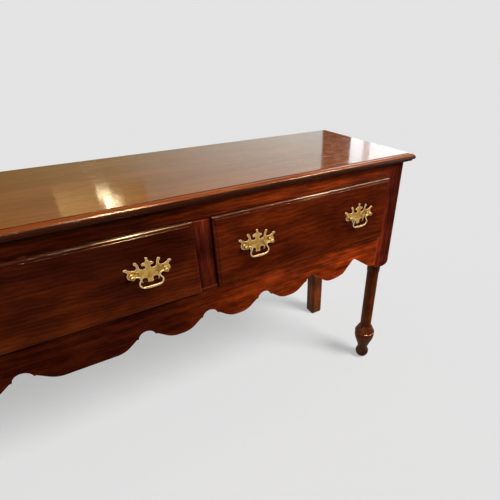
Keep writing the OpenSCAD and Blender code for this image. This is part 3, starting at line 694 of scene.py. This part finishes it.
def makeCamera():
    heading, tilt, roll = [math.radians(view[key]) for key in ("heading", "tilt", "roll")]
    level = math.cos(tilt)
    forward = Vector((math.sin(heading) * level, math.cos(heading) * level, -math.sin(tilt)))
    across = Vector((math.cos(heading), -math.sin(heading), 0))
    down = forward.cross(across)
    across, down = (across * math.cos(roll) + down * math.sin(roll),
                    down * math.cos(roll) - across * math.sin(roll))
    data = bpy.data.cameras.new("camera")
    data.lens = view["lens"]
    data.sensor_width = view["film"]
    data.shift_x, data.shift_y = view["shift"]
    data.clip_start, data.clip_end = view["reach"]
    camera = bpy.data.objects.new("camera", data)
    turn = Matrix((across, -down, -forward)).transposed().to_4x4()
    camera.matrix_world = Matrix.Translation(view["place"]) @ turn
    scene.collection.objects.link(camera)
    scene.camera = camera


makeCamera()

# Stage: a pale floor, an even sky, a soft box from the right, and cards that only reflections show
stage = {"pale": 0.772, "reach": 40, "sky": 0.24, "floorShade": 0.5, "floorBounce": 0.4,
         "sunLevel": 0.72, "sunAngle": 24, "sunFrom": (0.39, -0.59, 0.71),
         "keyPlace": (1.55, -1.45, 2.2), "keyAim": (0.5, 0, 0.6), "keySize": 1.2, "keyPower": 62,
         "fillFrom": (-0.6, 0.75, 0.36), "fillLevel": 0.35, "fillAngle": 40}


def grey(level):
    return (level, level, level, 1)


def rayIs(s, number):   # 0 camera, 2 diffuse, 3 glossy, 6 transmission
    return s.node("ShaderNodeLightPath", {}, {}, number)


def makeWorld():   # the eye and reflections see the pale backdrop, surfaces are lit by the weaker sky
    world = bpy.data.worlds.new("studio")
    world.use_nodes = True
    s = Graph(world.node_tree)
    backdrop = s.node("ShaderNodeBackground", {}, {"Color": grey(stage["pale"]), "Strength": 1})
    light = s.node("ShaderNodeBackground", {}, {"Color": grey(1), "Strength": stage["sky"]})
    seen = rayIs(s, 0)
    for number in (3, 6):
        seen = s.number("MAXIMUM", seen, rayIs(s, number))
    both = s.node("ShaderNodeMixShader", {}, {0: seen, 1: light, 2: backdrop})
    s.node("ShaderNodeOutputWorld", {}, {"Surface": both})
    scene.world = world


def makeFloor():   # half of its paleness glows evenly, so the shadow on it stays soft
    reach = stage["reach"]
    mesh = bpy.data.meshes.new("floor")
    mesh.from_pydata([(-reach, -reach, 0), (reach, -reach, 0), (reach, reach, 0), (-reach, reach, 0)], [],
                     [(0, 1, 2, 3)])
    floor = addPiece("floor", mesh)
    material, s = newMaterial("paleFloor")
    share = stage["floorShade"]
    lit = stage["sky"] + stage["sunLevel"]
    shaded = s.node("ShaderNodeBsdfDiffuse", {}, {"Color": grey(stage["pale"] * share / lit)})
    even = s.node("ShaderNodeEmission", {}, {"Color": grey(stage["pale"] * (1 - share)), "Strength": 1})
    seen = s.node("ShaderNodeAddShader", {}, {0: shaded, 1: even})
    plain = s.node("ShaderNodeBsdfDiffuse", {}, {"Color": grey(stage["floorBounce"])})
    surface = s.node("ShaderNodeMixShader", {}, {0: rayIs(s, 2), 1: seen, 2: plain})
    s.node("ShaderNodeOutputMaterial", {}, {"Surface": surface})
    mesh.materials.append(material)
    return floor


def makeLight(name, kind, place, aim, energy, size):   # size is a sun's angle or a soft box's side
    data = bpy.data.lights.new(name, kind)
    data.energy = energy
    if kind == "SUN":
        data.angle = math.radians(size)
    else:
        data.shape = "SQUARE"
        data.size = size
    lamp = bpy.data.objects.new(name, data)
    turn = (Vector(place) - Vector(aim)).to_track_quat("Z", "Y").to_matrix().to_4x4()
    lamp.matrix_world = Matrix.Translation(place) @ turn
    scene.collection.objects.link(lamp)
    return lamp


def lightOnly(lamp, name, objects):
    group = bpy.data.collections.new(name)
    for thing in objects:
        group.objects.link(thing)
    lamp.light_linking.receiver_collection = group


def makeLamps(floor, wood, dresser):
    centre = (0, 0, 0)
    sunPower = stage["sunLevel"] * math.pi / Vector(stage["sunFrom"]).normalized().z
    sun = makeLight("floorSun", "SUN", stage["sunFrom"], centre, sunPower, stage["sunAngle"])
    lightOnly(sun, "floorLit", [floor])
    key = makeLight("softBox", "AREA", stage["keyPlace"], stage["keyAim"], stage["keyPower"],
                    stage["keySize"])
    lightOnly(key, "woodLit", wood)
    fillPower = stage["fillLevel"] * math.pi
    fill = makeLight("backFill", "SUN", stage["fillFrom"], centre, fillPower, stage["fillAngle"])
    lightOnly(fill, "dresserFilled", dresser)
    key.visible_glossy = False
    fill.visible_glossy = False


makeWorld()
floor = makeFloor()
dresser = [thing for thing in scene.objects if thing.type == "MESH" and thing is not floor]
brassParts = [thing for thing in dresser if {brass, bailBrass} & set(thing.data.materials[:])]
woodParts = [thing for thing in dresser if thing not in brassParts]
topParts = [thing for thing in woodParts if "top_board" in thing.name]
shownOn = {"brass": brassParts, "wood": woodParts, "top": topParts,
           "case": [thing for thing in woodParts if thing not in topParts]}
makeLamps(floor, woodParts, dresser)

# Reflection cards: upright, each a span of heading and height in degrees seen from the mirrored eye
mirroredEye = Vector((0.0780, -0.9192, 0.5534))
cards = {
    "leftWallCard": {"span": (-75, -12, 2, 34), "away": 5, "glows": [
        (0, (0.4, 0.37, 0.34)), (1, (0.23, 0.19, 0.1))]},
    "wallCard": {"span": (-12, 36.7, 2, 34), "away": 5, "glows": [
        (0, (0.23, 0.2, 0.07)), (0.35, (0.36, 0.38, 0.22)), (0.62, (0.65, 0.76, 0.68)),
        (1, (1.0, 1.25, 1.22))]},
    "bandCard": {"span": (36.7, 41.0, 2, 34), "away": 4.8, "glows": [
        (0, (0.02, 0.01, 0.005)), (1, (0.05, 0.02, 0.02))]},
    "windowCard": {"span": (41.0, 53, 2, 34), "away": 5, "glows": [
        (0, (2.5, 2.9, 3.1)), (1, (3.3, 3.6, 3.4))]},
    "windowBar": {"span": (42.9, 43.9, 2, 34), "away": 4.6, "glows": [
        (0, (1.4, 1.4, 1.45)), (1, (1.4, 1.4, 1.45))]},
    "lampHalo": {"span": (-3, 9, 16.3, 21), "away": 4.3, "glows": [
        (0, (1.2, 0.9, 0.35)), (1, (0.42, 0.32, 0.1))]},
    "lampCardHigh": {"span": (2.3, 4.1, 16.8, 18.2), "away": 4.1, "glows": [
        (0, (6, 5.2, 3.2)), (1, (5, 4.2, 2.4))]},
    "lampCardLow": {"span": (3.0, 5.7, 18.2, 19.6), "away": 4.0, "glows": [
        (0, (13, 12.5, 10)), (0.45, (9, 8, 5)), (1, (1.2, 0.9, 0.35))]},
}
# Panels: flat cards in metres, shown on some of the pieces. All glows run from left to right
panels = {
    "noseNear": {"x": (0.05, 1.4), "y": (-2.8, -1.1), "z": (3.3, 3.3), "on": "top", "glows": [
        (0, (13, 9, 4)), (0.17, (170, 155, 125)), (0.3, (105, 80, 52)), (0.45, (22, 13, 7)),
        (0.65, (2.4, 1, 0.4)), (1, (0.6, 0.5, 0.4))]},
    "noseFar": {"x": (1.4, 3.9), "y": (-2.8, -1.1), "z": (3.3, 3.3), "on": "top", "glows": [
        (0, (0.6, 0.5, 0.4)), (0.2, (1.4, 1.2, 1.1)), (0.39, (3, 1.8, 0.9)), (0.53, (185, 155, 114)),
        (0.63, (11, 9, 7)), (1, (16, 15, 14))]},
    "lipNear": {"x": (0.05, 1.4), "y": (-4.2, -0.7), "z": (3.3, 3.3), "on": "case", "glows": [
        (0, (20, 16, 11)), (0.14, (32, 26, 19)), (0.26, (220, 200, 175)), (0.4, (60, 48, 36)),
        (0.55, (16, 12, 9)), (1, (10, 8, 7))]},
    "lipLow": {"x": (1.4, 3.9), "y": (-4.2, -2.4), "z": (3.3, 3.3), "on": "case", "glows": [
        (0, (6, 5.6, 5.2)), (0.7, (2, 1.7, 1.5)), (0.82, (170, 152, 138)), (0.89, (10, 9, 8)),
        (1, (30, 26, 24))]},
    "lipFar": {"x": (1.4, 3.9), "y": (-2.4, -0.7), "z": (3.3, 3.3), "on": "case", "glows": [
        (0, (6, 5.6, 5.2)), (0.12, (6, 5.6, 5.2)), (0.36, (1, 0.8, 0.6)), (0.46, (200, 178, 160)),
        (0.52, (8, 6, 5)), (1, (34, 30, 28))]},
    "ceilingPanel": {"x": (-7, 7), "y": (-0.4, 6), "z": (3.95, 3.95), "on": "all", "glows": [
        (0, (0.08, 0.06, 0.05)), (1, (0.08, 0.06, 0.05))]},
    "frontWall": {"x": (-5, 5), "y": (-4.8, -4.8), "z": (0, 3.9), "on": "wood", "glows": [
        (0, (0.12, 0.07, 0.05)), (1, (0.12, 0.07, 0.05))]},
    "darkFloor": {"x": (-4, 4), "y": (-5, -0.4), "z": (0.004, 0.004), "on": "wood", "glows": [
        (0, (0.23, 0.18, 0.16)), (1, (0.23, 0.18, 0.16))]},
    "nearFloor": {"x": (-4, 4), "y": (-0.4, 3), "z": (0.004, 0.004), "on": "wood", "glows": [
        (0, (0.24, 0.2, 0.16)), (1, (0.24, 0.2, 0.16))]},
    "brassPanel": {"x": (-2.5, 3), "y": (-2.2, -0.4), "z": (3.3, 3.3), "on": "brass", "glows": [
        (0, (4.6, 4.1, 3.4)), (1, (4.6, 4.1, 3.4))]},
    "brassLamp": {"x": (0.9, 1.5), "y": (-2.6, -2.0), "z": (3.2, 3.2), "on": "brass", "glows": [
        (0, (16, 14, 10)), (1, (16, 14, 10))]},
    "brassFloor": {"x": (-4, 4), "y": (-5, -0.4), "z": (0.01, 0.01), "on": "brass", "glows": [
        (0, (0.52, 0.42, 0.31)), (1, (0.74, 0.62, 0.5))]},
}


def makeCard(name, corners, glows):
    mesh = bpy.data.meshes.new(name)
    mesh.from_pydata(corners, [], [(0, 1, 2, 3)])
    card = addPiece(name, mesh)
    material, s = newMaterial(name + "Glow")
    start, along = Vector(corners[0]), Vector(corners[1]) - Vector(corners[0])
    place = s.vector("SUBTRACT", s.objectPlace(), start)
    share = s.node("ShaderNodeVectorMath", {"operation": "DOT_PRODUCT"},
                   {0: place, 1: along / along.length_squared}, 1)
    top = max(max(glow) for position, glow in glows)   # a ramp's colours stay below 1
    colour = s.ramp(share, [(position, [part / top for part in glow]) for position, glow in glows])
    lamp = s.node("ShaderNodeEmission", {}, {"Color": colour, "Strength": top})
    s.node("ShaderNodeOutputMaterial", {}, {"Surface": lamp})
    mesh.materials.append(material)
    for ray in ("camera", "diffuse", "transmission", "volume_scatter", "shadow"):
        setattr(card, "visible_" + ray, False)
    return card


for name, card in cards.items():
    left, right, low, high = [math.radians(angle) for angle in card["span"]]
    corners = [mirroredEye + card["away"] * Vector((math.sin(a), math.cos(a), math.tan(e)))
               for a, e in ((left, low), (right, low), (right, high), (left, high))]
    makeCard(name, corners, card["glows"])
for name, panel in panels.items():
    (x0, x1), (y0, y1), (z0, z1) = panel["x"], panel["y"], panel["z"]
    card = makeCard(name, [(x0, y0, z0), (x1, y0, z0), (x1, y1, z1), (x0, y1, z1)], panel["glows"])
    if panel["on"] != "all":
        lightOnly(card, name + "Lit", shownOn[panel["on"]])
print("stage ready")

scene.view_settings.view_transform = "Standard"
